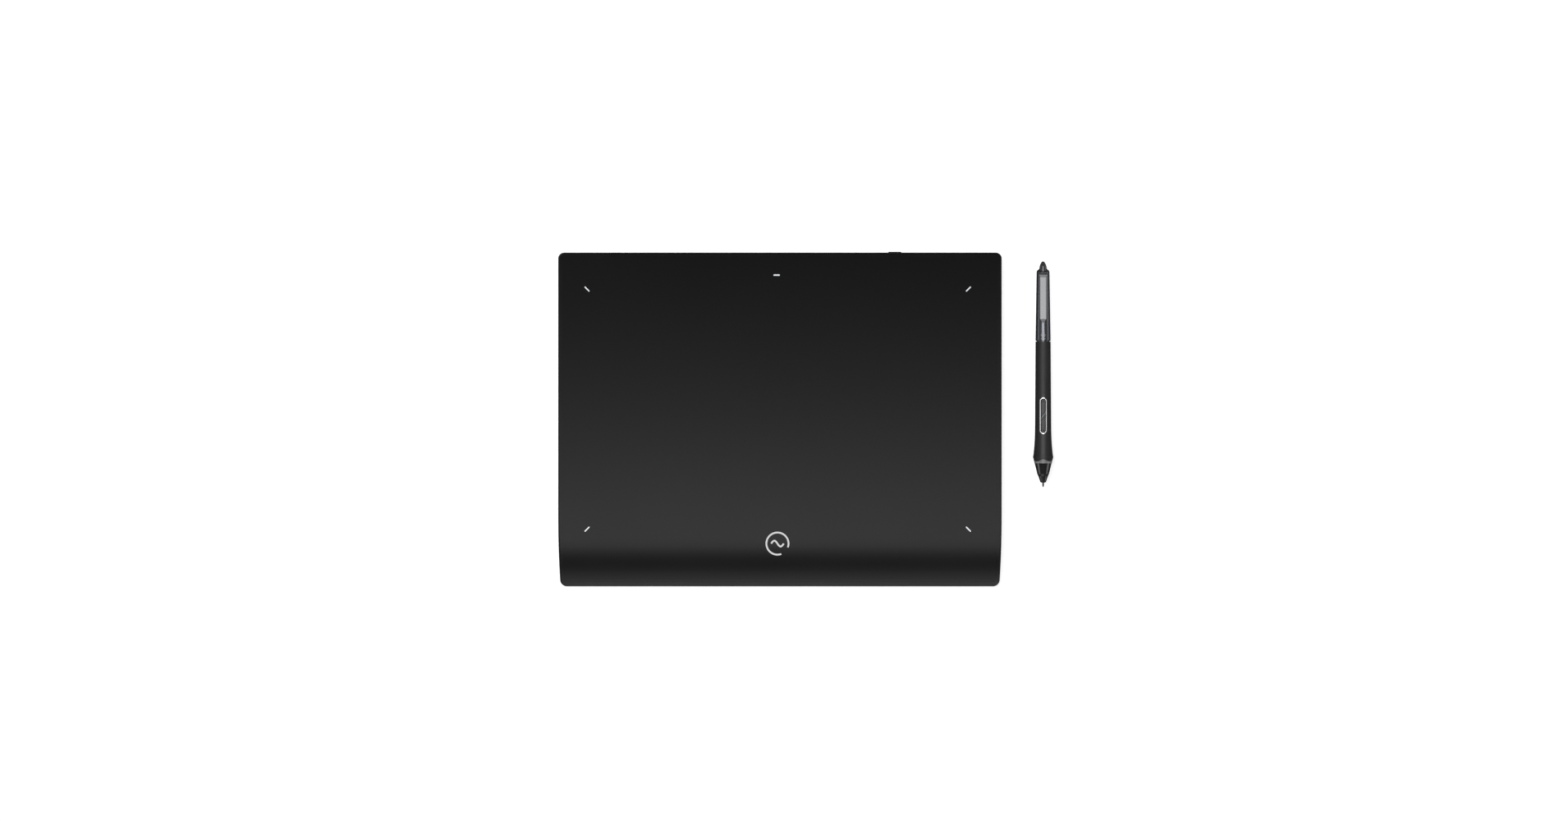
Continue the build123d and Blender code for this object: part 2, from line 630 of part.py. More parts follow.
with BuildPart() as power_button:
    with BuildSketch(REAR.offset(-WALL)):
        with Locations(BUTTON_AT):
            SlotOverall(BUTTON_L, BUTTON_T)
    extrude(amount=WALL + BUTTON_PROUD)
    fillet(power_button.faces().sort_by(Axis.Y)[-1].edges(), 0.4)
    # flange inside the wall
    with BuildSketch(REAR.offset(-WALL - 0.9)):
        with Locations(BUTTON_AT):
            SlotOverall(BUTTON_L + 2.2, BUTTON_T + 1.6)
    extrude(amount=0.85)
    # round pip facing the switch
    with BuildSketch(REAR.offset(-WALL - 1.6)):
        with Locations(BUTTON_AT):
            Circle(0.9)
    extrude(amount=1.0)
    # joins the flange to the cap
    with BuildSketch(REAR.offset(-WALL - 0.3)):
        with Locations(BUTTON_AT):
            SlotOverall(BUTTON_L, BUTTON_T)
    extrude(amount=0.6)
finish(power_button, "power_button")

# ================================================================ pen: outer form
# (s, radius) behind the widest ring, down to the waist
GRIP_PROFILE = [
    (24.2, 7.12), (26.0, 6.92), (29.6, 6.57), (33.3, 6.31),
    (36.9, 6.13), (41.5, 6.0), (46.0, 5.94),
]
# (s, -x) of the wavy seam between collar and grip, seen from above
WAVE = [
    (19.70, -8.5), (19.35, -6.6), (18.85, -4.4), (19.45, -2.4), (20.30, 0),
    (19.45, 2.4), (18.85, 4.4), (19.35, 6.6), (19.70, 8.5),
]


def grip_form(grow=0.0):
    """The grip's outer form as a solid of revolution, grown by a little for proud trim."""
    grip_end = JOIN_S - JOIN_GROOVE
    with BuildPart() as form:
        with BuildSketch(SECTION):
            with BuildLine():
                Polyline((SEAM_S, 0), (SEAM_S, SEAM_R + grow), (RIDGE_S - 0.35, 7.40 + grow))
                crest = ThreePointArc(
                    (RIDGE_S - 0.35, 7.40 + grow),
                    (RIDGE_S, RIDGE_R + grow),
                    (RIDGE_S + 0.45, 7.42 + grow),
                )
                waist = Spline(crest @ 1, *[(s, radius + grow) for s, radius in GRIP_PROFILE])
                Polyline(waist @ 1, (grip_end, 5.575 + grow), (grip_end, 0), (SEAM_S, 0))
            make_face()
        revolve(axis=PEN_AXIS)
    return form.part


def wave_tool(shift):
    """Everything ahead of the wavy seam, with the seam moved along the pen by shift."""
    with BuildPart() as tool:
        with BuildSketch(PLAN):
            with BuildLine():
                wave = Spline(*[(s + shift, across) for s, across in WAVE])
                Polyline(wave @ 1, (5, 8.5), (5, -8.5), wave @ 0)
            make_face()
        extrude(amount=9, both=True)
    return tool.part


def bore_tool(radius):
    """A cylinder on the pen's axis, longer than the pen."""
    with BuildPart() as cylinder:
        with BuildSketch(CROSS):
            Circle(radius)
        extrude(amount=200)
    return cylinder.part


def pen_rod(name, start, length, radius, bore=0, bevel=0):
    """A round piece on the pen's axis, with an optional bore or bevelled ends."""
    with BuildPart() as rod:
        with BuildSketch(CROSS.offset(start)):
            Circle(radius)
            if bore:
                Circle(bore, mode=Mode.SUBTRACT)
        extrude(amount=length)
        if bevel:
            chamfer(rod.edges(), bevel)
    finish(rod, name)


def pen_winding(name, middle, radius, length, thickness, first, pitch, count, groove):
    """A coil round the pen's axis; shallow grooves, sized (s, h), show its windings."""
    groove_r = radius + thickness / 2 + 0.02
    with BuildPart() as winding:
        with BuildSketch(SECTION):
            with Locations((middle, radius)):
                Rectangle(length, thickness)
            with Locations(*[(first + pitch * i, groove_r) for i in range(count)]):
                Rectangle(*groove, mode=Mode.SUBTRACT)
        revolve(axis=PEN_AXIS)
    finish(winding, name)


grip_body = grip_form()
proud_form = grip_form(0.14)
key_form = grip_form(0.30)

# ---------------------------------------------------------------- grip barrel
with BuildPart() as pen_grip:
    add(grip_body)
    add(bore_tool(BORE_R), mode=Mode.SUBTRACT)
    add(wave_tool(0.0), mode=Mode.SUBTRACT)
    with BuildSketch(PLAN):
        with Locations((SLOT_S, 0)):
            SlotOverall(SLOT_L + 0.1, SLOT_W + 0.1)
    extrude(amount=12, mode=Mode.SUBTRACT)
finish(pen_grip, "pen_grip")

# ---------------------------------------------------------------- collar between grip and nose cone
with BuildPart() as pen_collar:
    add(grip_body)
    add(wave_tool(-0.06), mode=Mode.INTERSECT)
    add(bore_tool(BORE_R + 0.05), mode=Mode.SUBTRACT)
finish(pen_collar, "pen_collar")

# ---------------------------------------------------------------- nose cone
CONE_END = SEAM_S - 0.05
NIB_HOLE_R = 0.75
with BuildPart() as pen_nose_cone:
    with BuildSketch(SECTION):
        with BuildLine():
            tip = Line((3.45, NIB_HOLE_R), (3.3, 1.15))
            lip = TangentArc(tip @ 1, (4.5, 2.36), tangent=(0.05, 1))
            Polyline(
                lip @ 1,
                (8.1, 3.58),
                (9.5, 4.30),
                (CONE_END, 6.20),
                (CONE_END, SLEEVE_R),
                (25.5, SLEEVE_R),
                (25.5, 3.75),
                (12.2, 3.5),
                (9.0, 1.6),
                (8.0, 1.6),
                (8.0, NIB_HOLE_R),
                (3.45, NIB_HOLE_R),
            )
        make_face()
    revolve(axis=PEN_AXIS)
finish(pen_nose_cone, "pen_nose_cone")

# ---------------------------------------------------------------- nib and its holder
NIB_R, NIB_END = 0.65, 29.5
with BuildPart() as pen_nib:
    with BuildSketch(SECTION):
        with BuildLine():
            dome = ThreePointArc((0, 0), (0.14, 0.32), (0.5, 0.52))
            Polyline(dome @ 1, (1.5, NIB_R), (NIB_END, NIB_R), (NIB_END, 0), (0, 0))
        make_face()
    revolve(axis=PEN_AXIS)
finish(pen_nib, "pen_nib")

HOLDER_S, HOLDER_R, SOCKET_L = 26.6, 1.7, 3.0
with BuildPart() as pen_nib_holder:
    # socket round the nib's end
    with BuildSketch(CROSS.offset(HOLDER_S)):
        Circle(HOLDER_R)
        Circle(NIB_R + 0.01, mode=Mode.SUBTRACT)
    extrude(amount=SOCKET_L)
    # solid end
    with BuildSketch(CROSS.offset(HOLDER_S + SOCKET_L)):
        Circle(HOLDER_R)
    extrude(amount=2.0)
    # flange
    with BuildSketch(CROSS.offset(HOLDER_S + 2.0)):
        Circle(2.5)
        Circle(1.5, mode=Mode.SUBTRACT)
    extrude(amount=1.0)
finish(pen_nib_holder, "pen_nib_holder")

# ---------------------------------------------------------------- resonant coil on its ferrite core
pen_rod("pen_ferrite_core", start=12.6, length=12.6, radius=1.9, bore=0.95)
pen_winding(
    "pen_coil", middle=18.4, radius=2.45, length=9.6, thickness=1.0,
    first=13.9, pitch=0.6, count=16, groove=(0.16, 0.14),
)

# ---------------------------------------------------------------- pressure sensor and inner frame
pen_rod("pen_pressure_sensor", start=32.4, length=3.6, radius=3.1, bevel=0.3)

PCB_H, PCB_T, PCB_W = 0.2, 0.8, 8.2  # underside, thickness and width of the circuit board
PCB_S0, PCB_S1 = 37.6, 97.2
PCB_SEAT = PCB_H + PCB_T + 0.01  # underside of the parts on it
FRAME_S0, FRAME_S1 = 26.0, 99.5
FRAME_R, FRAME_BORE_R = BORE_R - 0.1, 3.2
with BuildPart() as pen_inner_frame:
    # tube with a small step inside, behind the pressure sensor
    with BuildSketch(SECTION):
        with BuildLine():
            Polyline(
                (FRAME_S0, FRAME_BORE_R), (FRAME_S0, FRAME_R), (FRAME_S1, FRAME_R),
                (FRAME_S1, FRAME_BORE_R), (36.4, FRAME_BORE_R), (36.4, 2.7),
                (36.2, 2.7), (36.2, FRAME_BORE_R), (FRAME_S0, FRAME_BORE_R),
            )
        make_face()
    revolve(axis=PEN_AXIS)
    # cradle: open above the circuit board behind the pressure sensor
    with BuildSketch(SECTION):
        with Locations((70, 5 + PCB_H - 0.05)):
            Rectangle(66, 10)
    extrude(amount=10, both=True, mode=Mode.SUBTRACT)
    # bulkhead at the tail end
    with BuildSketch(CROSS.offset(97.5)):
        Circle(3.4)
    extrude(amount=1.8)
finish(pen_inner_frame, "pen_inner_frame")

with BuildPart() as pen_circuit_board:
    with BuildSketch(PLAN.offset(PCB_H)):
        with Locations(((PCB_S0 + PCB_S1) / 2, 0)):
            RectangleRounded(PCB_S1 - PCB_S0, PCB_W, 0.8)
    extrude(amount=PCB_T)
finish(pen_circuit_board, "pen_circuit_board")

SWITCH_SPOTS = [(SLOT_S - 7.4, 0), (SLOT_S + 7.4, 0)]
with BuildPart() as pen_side_switches:
    with BuildSketch(PLAN.offset(PCB_SEAT)):
        with Locations(*SWITCH_SPOTS):
            RectangleRounded(4.0, 3.0, 0.3)
    extrude(amount=1.0)
    # plungers
    with BuildSketch(PLAN.offset(PCB_H + 1.7)):
        with Locations(*SWITCH_SPOTS):
            Circle(0.8)
    extrude(amount=0.45)
finish(pen_side_switches, "pen_side_switches")

with BuildPart() as pen_board_chips:
    with BuildSketch(PLAN.offset(PCB_SEAT)):
        with Locations((74, 0)):
            Rectangle(5, 5)
        with Locations((83, 1), (88, -1), (92, 1.5)):
            Rectangle(2.0, 1.2)
    extrude(amount=0.9)
finish(pen_board_chips, "pen_board_chips")

# ---------------------------------------------------------------- side switch trim and keys
INNER_L, INNER_W = SLOT_L - 2 * BAND, SLOT_W - 2 * BAND
KEYS_L, KEYS_W = INNER_L - 2 * KEY_GROOVE, INNER_W - 2 * KEY_GROOVE
with BuildPart() as pen_button_bezel:
    with BuildSketch(PLAN.offset(4.2)):
        with Locations((SLOT_S, 0)):
            SlotOverall(SLOT_L, SLOT_W)
            SlotOverall(INNER_L, INNER_W, mode=Mode.SUBTRACT)
    extrude(amount=5)
    add(proud_form, mode=Mode.INTERSECT)
    # round the border of the curved top, leaving out edges shared by two of its faces
    crown = pen_button_bezel.faces().filter_by(GeomType.PLANE, reverse=True)
    crown = crown.filter_by(lambda face: face.normal_at().dot(PEN_UP) > 0.7)
    crown_edges = ShapeList()
    for face in crown:
        crown_edges.extend(face.edges())
    border = crown_edges.filter_by(
        lambda edge: sum(edge.is_same(other) for other in crown_edges) == 1
    )
    fillet(border, 0.38)
finish(pen_button_bezel, "pen_button_bezel")

SLANT = 1.45  # the seam between the keys climbs this much along the pen per unit across it
ZONE_HALF_W = 6.0
DIVIDER_HALF, KEY_FROM, ZONE_FAR = 0.62, 1.55, 40  # seams along the pen, from SLOT_S
DIMPLE_S, DIMPLE_R = 10.6, 0.9


def key_zone(near, far):
    """The slice of the side switch between two slanted seams, as a prism through the grip."""
    lean = SLANT * ZONE_HALF_W
    with BuildPart() as zone:
        with BuildSketch(PLAN.offset(1.0)):
            with BuildLine():
                Polyline(
                    (SLOT_S + near + lean, -ZONE_HALF_W),
                    (SLOT_S + far + lean, -ZONE_HALF_W),
                    (SLOT_S + far - lean, ZONE_HALF_W),
                    (SLOT_S + near - lean, ZONE_HALF_W),
                    (SLOT_S + near + lean, -ZONE_HALF_W),
                )
            make_face()
        extrude(amount=9)
    return zone.part


def side_key(name, near, far, dimple_s, dimple_h):
    """One key of the side switch, with a spherical dimple near its outer end."""
    zone = key_zone(near, far)
    with BuildPart() as key:
        with BuildSketch(PLAN.offset(2.75)):
            with Locations((SLOT_S, 0)):
                SlotOverall(KEYS_L, KEYS_W)
        extrude(amount=6)
        add(zone, mode=Mode.INTERSECT)
        add(key_form, mode=Mode.INTERSECT)
        with Locations(PEN_TIP + PEN_DIR * dimple_s + PEN_UP * dimple_h):
            Sphere(DIMPLE_R, mode=Mode.SUBTRACT)
    finish(key, name)


side_key("pen_front_button", -ZONE_FAR, -KEY_FROM, SLOT_S - DIMPLE_S, 6.94)
side_key("pen_rear_button", KEY_FROM, ZONE_FAR, SLOT_S + DIMPLE_S, 6.79)

with BuildPart() as pen_button_divider:
    with BuildSketch(PLAN.offset(PCB_H + 0.85)):
        with Locations((SLOT_S, 0)):
            SlotOverall(KEYS_L, KEYS_W)
    extrude(amount=7)
    add(key_zone(-DIVIDER_HALF, DIVIDER_HALF), mode=Mode.INTERSECT)
    add(proud_form, mode=Mode.INTERSECT)
finish(pen_button_divider, "pen_button_divider")

# ---------------------------------------------------------------- tail barrel
CLIP_TIP, CLIP_ROOT = 120.4, 156.95
CLIP_PEG_S = 155.5  # peg under the clip's root and its slot in the barrel
with BuildPart() as pen_tail_barrel:
    with BuildSketch(SECTION):
        with BuildLine():
            side = Line((JOIN_S + 0.3, 5.565), (TAIL_S, TAIL_R))
            shoulder = ThreePointArc(
                side @ 1, (TAIL_S + 1.15, TAIL_R - 0.42), (TAIL_S + 1.7, TAIL_R - 1.2)
            )
            Polyline(
                shoulder @ 1,
                (160.1, 2.86),
                (152.0, 2.86),
                (152.0, 3.8),
                (101.0, 3.8),
                (101.0, SLEEVE_R),
                (JOIN_S, SLEEVE_R),
                (JOIN_S, 5.27),
                (JOIN_S + 0.3, 5.565),
            )
        make_face()
    revolve(axis=PEN_AXIS)
    # slanted scoop at the tail, on the clip's side
    with BuildSketch(SECTION):
        with BuildLine():
            Polyline(
                (CLIP_ROOT, 6.5), (CLIP_ROOT, 4.5), (159.9, 0.3), (163, 0.3), (163, 6.5),
                (CLIP_ROOT, 6.5),
            )
        make_face()
    extrude(amount=8, both=True, mode=Mode.SUBTRACT)
    # flat seat and slot of the clip's root
    with BuildSketch(SECTION):
        with Locations((156.3, 6.25)):
            Rectangle(3.6, 4.0)
    extrude(amount=3.3, both=True, mode=Mode.SUBTRACT)
    with BuildSketch(PLAN.offset(3.2)):
        with Locations((CLIP_PEG_S, 0)):
            Rectangle(1.7, 2.7)
    extrude(amount=3, mode=Mode.SUBTRACT)
finish(pen_tail_barrel, "pen_tail_barrel")

# ---------------------------------------------------------------- clip
# (s, h) round the side view: the top from root to tip, then back underneath
CLIP_PROFILE = [
    (CLIP_ROOT, 4.30), (CLIP_ROOT, 4.85), (155.6, 6.15), (153.6, 6.62),
    (123.1, 7.06), (CLIP_TIP + 0.15, 5.86), (CLIP_TIP, 5.62),
    (122.2, 5.62), (124.2, 6.15), (152.0, 5.75), (153.6, 5.45), (154.55, 4.9),
    (154.55, 4.30), (CLIP_ROOT, 4.30),
]
# (s, half width) from root to tip
CLIP_WIDTHS = [
    (CLIP_ROOT + 0.1, 3.0), (156.2, 2.95), (154.9, 2.55), (153.9, CLIP_W / 2),
    (123.2, CLIP_W / 2), (CLIP_TIP - 0.05, 0.35),
]
BEVEL_IN = CLIP_W / 2 - 0.55  # inner edge of the bevels, from the clip's middle
BEVEL_OUT = CLIP_W / 2 + 1.5
crest_start = PEN_TIP + PEN_DIR * 124.0 + PEN_UP * 7.05
crest_end = PEN_TIP + PEN_DIR * 153.6 + PEN_UP * 6.62
CLIP_CREST = Plane(
    origin=crest_start, x_dir=(-1, 0, 0), z_dir=crest_end - crest_start
).offset(-4.0)  # across the clip, just ahead of its tip
with BuildPart() as pen_clip:
    with BuildSketch(SECTION):
        with BuildLine():
            Polyline(*CLIP_PROFILE)
        make_face()
    extrude(amount=3.4, both=True)
    with BuildSketch(PLAN.offset(3.0)):
        with BuildLine():
            Polyline(
                *CLIP_WIDTHS,
                *[(s, -half) for s, half in reversed(CLIP_WIDTHS)],
                CLIP_WIDTHS[0],
            )
        make_face()
    extrude(amount=6, mode=Mode.INTERSECT)
    # bevels along both long edges
    with BuildSketch(CLIP_CREST):
        for hand in (-1, 1):
            with BuildLine():
                Polyline(
                    (hand * BEVEL_IN, 0),
                    (hand * BEVEL_IN, 1.5),
                    (hand * BEVEL_OUT, 1.5),
                    (hand * BEVEL_OUT, -1.45),
                    (hand * BEVEL_IN, 0),
                )
            make_face()
    extrude(amount=33.6, mode=Mode.SUBTRACT)
    # peg under the root
    with BuildSketch(PLAN.offset(3.4)):
        with Locations((CLIP_PEG_S, 0)):
            Rectangle(1.2, 2.2)
    extrude(amount=1.2)
finish(pen_clip, "pen_clip")

# ---------------------------------------------------------------- eraser end
ERASER_S = 149.65
with BuildPart() as pen_eraser:
    with BuildSketch(SECTION):
        with BuildLine():
            base = Polyline(
                (ERASER_S, 0), (ERASER_S, 3.5), (151.5, 3.5), (151.5, 2.7), (160.2, 2.7)
            )
            nose = Spline(
                base @ 1,
                (161.5, 2.60),
                (163.2, 2.12),
                (164.7, 1.35),
                (PEN_L, 0),
                tangents=((1, 0), (0, -1)),
            )
            Line(nose @ 1, base @ 0)
        make_face()
    revolve(axis=PEN_AXIS)
finish(pen_eraser, "pen_eraser")

pen_rod("pen_eraser_sensor", start=145.4, length=3.6, radius=3.7, bevel=0.3)
pen_winding(
    "pen_eraser_coil", middle=138.5, radius=2.6, length=10.0, thickness=1.2,
    first=133.9, pitch=0.66, count=15, groove=(0.18, 0.16),
)
pen_rod("pen_eraser_core", start=132.8, length=11.4, radius=1.95)

# ---------------------------------------------------------------- seal between the two barrels
with BuildPart() as pen_joint_seal:
    with BuildSketch(SECTION):
        with Locations((103.4, 3.55)):
            Circle(0.22)
    revolve(axis=PEN_AXIS)
finish(pen_joint_seal, "pen_joint_seal")
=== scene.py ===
"""Looks of a pen drawing tablet and its pen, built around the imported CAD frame.

The tablet lies flat with its drawing sheet facing +Z and its front edge toward -Y.
The pen lies along Y with its nose toward -Y. Lengths are in metres.
"""

import math

import bmesh
import bpy
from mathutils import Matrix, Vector
from mathutils.bvhtree import BVHTree

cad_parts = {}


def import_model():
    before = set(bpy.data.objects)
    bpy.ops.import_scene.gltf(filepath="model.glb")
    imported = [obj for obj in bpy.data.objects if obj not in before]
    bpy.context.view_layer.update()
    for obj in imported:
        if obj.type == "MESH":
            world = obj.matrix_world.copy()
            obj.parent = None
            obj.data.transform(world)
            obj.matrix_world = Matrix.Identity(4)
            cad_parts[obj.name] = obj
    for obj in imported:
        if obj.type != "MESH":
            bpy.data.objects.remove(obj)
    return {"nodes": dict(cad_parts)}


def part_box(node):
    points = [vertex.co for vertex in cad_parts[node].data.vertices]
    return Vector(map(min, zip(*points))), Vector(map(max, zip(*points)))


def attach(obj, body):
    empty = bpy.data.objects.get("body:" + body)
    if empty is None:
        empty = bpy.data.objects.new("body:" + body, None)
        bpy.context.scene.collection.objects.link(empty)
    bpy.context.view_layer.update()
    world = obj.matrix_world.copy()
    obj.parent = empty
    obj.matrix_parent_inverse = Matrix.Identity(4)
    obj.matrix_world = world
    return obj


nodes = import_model()["nodes"]
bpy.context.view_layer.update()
MM = 0.001

case_lo, case_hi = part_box("top_shell")
grip_lo, grip_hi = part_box("pen_grip")
CENTER_X = (case_lo.x + case_hi.x) / 2
CENTER_Y = (case_lo.y + case_hi.y) / 2
SHEET_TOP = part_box("drawing_sheet")[1].z
COVER_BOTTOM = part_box("bottom_cover")[0].z
PEN_X = (grip_lo.x + grip_hi.x) / 2
PEN_Y = CENTER_Y + 0.033  # where the pen's lights are centred
TAIL_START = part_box("pen_tail_barrel")[0].y  # end of the tail barrel nearest the nose


# ------------------------------------------------------------------ node graphs
class Graph:
    """The node tree of a material or world, with short helpers."""

    def __init__(self, owner):
        owner.use_nodes = True
        self.owner = owner
        self.tree = owner.node_tree
        self.tree.nodes.clear()

    def plug(self, node, key, value):
        """Feed an input from a socket, from a node's first output, or with a plain value."""
        socket = node.inputs[key]
        if isinstance(value, bpy.types.Node):
            value = value.outputs[0]
        if isinstance(value, bpy.types.NodeSocket):
            self.tree.links.new(value, socket)
        elif socket.type == "RGBA":
            socket.default_value = (*value, 1)
        else:
            socket.default_value = value

    def add(self, kind, inputs=None, **settings):
        node = self.tree.nodes.new("ShaderNode" + kind)
        for key, value in settings.items():
            setattr(node, key, value)
        for key, value in (inputs or {}).items():
            self.plug(node, key, value)
        return node

    def finish(self, shader, kind="OutputMaterial"):
        self.add(kind, {"Surface": shader})
        return self.owner

    def noise(self, coords, scale, detail, rough=0.5):
        return self.add(
            "TexNoise",
            {"Vector": coords, "Scale": scale, "Detail": detail, "Roughness": rough},
        )

    def remap(self, value, to, span=(0.3, 0.7), **settings):
        """Map span onto to. The default span suits a noise."""
        inputs = {
            "Value": value,
            "From Min": span[0], "From Max": span[1],
            "To Min": to[0], "To Max": to[1],
        }
        return self.add("MapRange", inputs, **settings)

    def mix(self, factor, color_a, color_b):
        node = self.add("Mix", data_type="RGBA")
        for key, value in ((0, factor), (6, color_a), (7, color_b)):
            self.plug(node, key, value)
        return node.outputs[2]

    def mix_shader(self, factor, shader_a, shader_b):
        return self.add("MixShader", {0: factor, 1: shader_a, 2: shader_b})

    def bump(self, height, strength, distance):
        inputs = {"Height": height, "Strength": strength, "Distance": distance}
        return self.add("Bump", inputs)

    def ramp(self, value, stops):
        """A grey ramp through stops of (position, level)."""
        node = self.add("ValToRGB", {0: value})
        elements = node.color_ramp.elements
        elements.remove(elements[-1])
        elements[0].position = stops[0][0]
        elements[0].color = (stops[0][1],) * 3 + (1,)
        for position, level in stops[1:]:
            elements.new(position).color = (level,) * 3 + (1,)
        return node

    def part(self, vector, axis):
        """One axis of a vector."""
        return self.add("SeparateXYZ", {0: vector}).outputs[axis]


def material_graph(name):
    return Graph(bpy.data.materials.new(name))


# ------------------------------------------------------------------ materials
def scaled(color, factor):
    return tuple(min(1.0, v * factor) for v in color)


def edge_mask(graph, radius):
    """1 on a rounded edge of this radius, 0 on the faces beside it."""
    bevel = graph.add("Bevel", {"Radius": radius}, samples=4)
    normal = graph.add("NewGeometry").outputs["Normal"]
    dot = graph.add("VectorMath", {0: bevel, 1: normal}, operation="DOT_PRODUCT")
    turn = graph.add("Math", {0: 1.0, 1: dot.outputs["Value"]}, operation="SUBTRACT")
    return graph.remap(turn, to=(0.0, 1.0), span=(0.02, 0.25))


def surface(
    name,
    color,
    rough,
    metal=0.0,
    spec=0.5,
    grain=3500.0,  # noise scale of the fine grain
    grain_depth=0.012,  # in mm
    grain_strength=0.35,
    cloud=45.0,  # noise scale of the broad patches
    tint=0.12,  # how far the patches stray from the colour
    rough_var=0.05,
    stretch=None,  # scale of the grain along each axis
    wear=0.0,
    wear_radius=0.0005,
    coat=0.0,
    dust=0.0,
    sheen=0.0,
    emit=None,
    emit_strength=0.0,
):
    """Plastic, rubber, paint or metal with grain, patchy gloss, dust and worn edges."""
    graph = material_graph(name)
    coords = graph.add("TexCoord").outputs["Object"]
    clouds = graph.noise(coords, scale=cloud, detail=4.0)
    grain_coords = coords
    if stretch:
        grain_coords = graph.add("Mapping", {"Vector": coords, "Scale": stretch})
    fine = graph.noise(grain_coords, scale=grain, detail=3.0, rough=0.6)

    patches = graph.remap(clouds, to=(0.0, 1.0))
    shade = graph.mix(patches, scaled(color, 1 - tint), scaled(color, 1 + tint))
    specks = graph.remap(fine, to=(0.0, 0.5))
    shade = graph.mix(specks, shade, scaled(color, 1 + tint * 2))
    if dust:
        motes = graph.add("TexVoronoi", {"Vector": coords, "Scale": 420.0})
        motes = graph.remap(motes.outputs["Distance"], to=(dust, 0.0), span=(0.02, 0.09))
        shade = graph.mix(motes, shade, (0.35, 0.34, 0.33))
    roughness = graph.remap(clouds, to=(rough - rough_var, rough + rough_var))
    if wear:
        edge = edge_mask(graph, wear_radius)
        patch = graph.noise(coords, scale=900.0, detail=4.0)
        patch = graph.remap(patch, to=(wear * 0.3, wear))
        worn = graph.add("Math", {0: edge, 1: patch}, operation="MULTIPLY")
        shade = graph.mix(worn, shade, scaled(color, 2.2))
        polished = max(0.1, rough - 0.12)
        roughness = graph.add("Mix", {0: worn, 2: roughness, 3: polished}, data_type="FLOAT")

    inputs = {
        "Base Color": shade,
        "Roughness": roughness,
        "Normal": graph.bump(fine, strength=grain_strength, distance=grain_depth * MM),
        "Metallic": metal,
        "IOR": 1.5,
        "Specular IOR Level": spec,
        "Coat Weight": coat,
        "Coat Roughness": 0.1,
        "Sheen Weight": sheen,
    }
    # some parts also glow: the light pipes are lit by their LEDs, the print's glow is painted
    if emit:
        inputs["Emission Color"] = emit
        inputs["Emission Strength"] = emit_strength
    return graph.finish(graph.add("BsdfPrincipled", inputs))


def circuit(name, mask, track, pad, scale):
    """Solder mask with raised tracks and pads."""
    graph = material_graph(name)
    coords = graph.add("TexCoord").outputs["Object"]
    black, white = (0, 0, 0), (1, 1, 1)
    brick = graph.add(
        "TexBrick",
        {
            "Vector": coords, "Scale": scale, "Mortar Size": 0.03,
            "Color1": black, "Color2": black, "Mortar": white,
        },
    )
    pads = graph.add("TexVoronoi", {"Vector": coords, "Scale": scale * 3})
    clouds = graph.noise(coords, scale=80.0, detail=3.0)
    patches = graph.remap(clouds, to=(0.0, 1.0))
    shade = graph.mix(patches, scaled(mask, 0.85), scaled(mask, 1.15))
    shade = graph.mix(brick, shade, track)
    dots = graph.remap(pads.outputs["Distance"], to=(1.0, 0.0), span=(0.1, 0.14))
    shade = graph.mix(dots, shade, pad)
    inputs = {
        "Base Color": shade,
        "Roughness": graph.remap(clouds, to=(0.28, 0.4)),
        "Normal": graph.bump(brick, strength=0.4, distance=0.03 * MM),
    }
    return graph.finish(graph.add("BsdfPrincipled", inputs))


def wound(name, color, pitch):
    """Rows of enamelled wire laid round the pen's length, with painted shade in the grooves
    between them.
    """
    graph = material_graph(name)
    coords = graph.add("TexCoord").outputs["Object"]
    # bands of scale 1 repeat about 3.2 times a metre
    wave = graph.add(
        "TexWave",
        {"Vector": coords, "Scale": 1.0 / pitch / 3.2, "Distortion": 0.15},
        wave_type="BANDS",
        bands_direction="Y",
    ).outputs["Fac"]
    clouds = graph.noise(coords, scale=500.0, detail=3.0)
    # darker where the bands dip: painted shade in the grooves between the turns
    painted_groove_shade = graph.remap(wave, to=(0.0, 1.0), span=(0.0, 1.0))
    inputs = {
        "Base Color": graph.mix(painted_groove_shade, scaled(color, 0.35), color),
        "Roughness": graph.remap(clouds, to=(0.22, 0.36)),
        "Normal": graph.bump(wave, strength=0.8, distance=0.05 * MM),
        "Metallic": 0.9,
    }
    return graph.finish(graph.add("BsdfPrincipled", inputs))


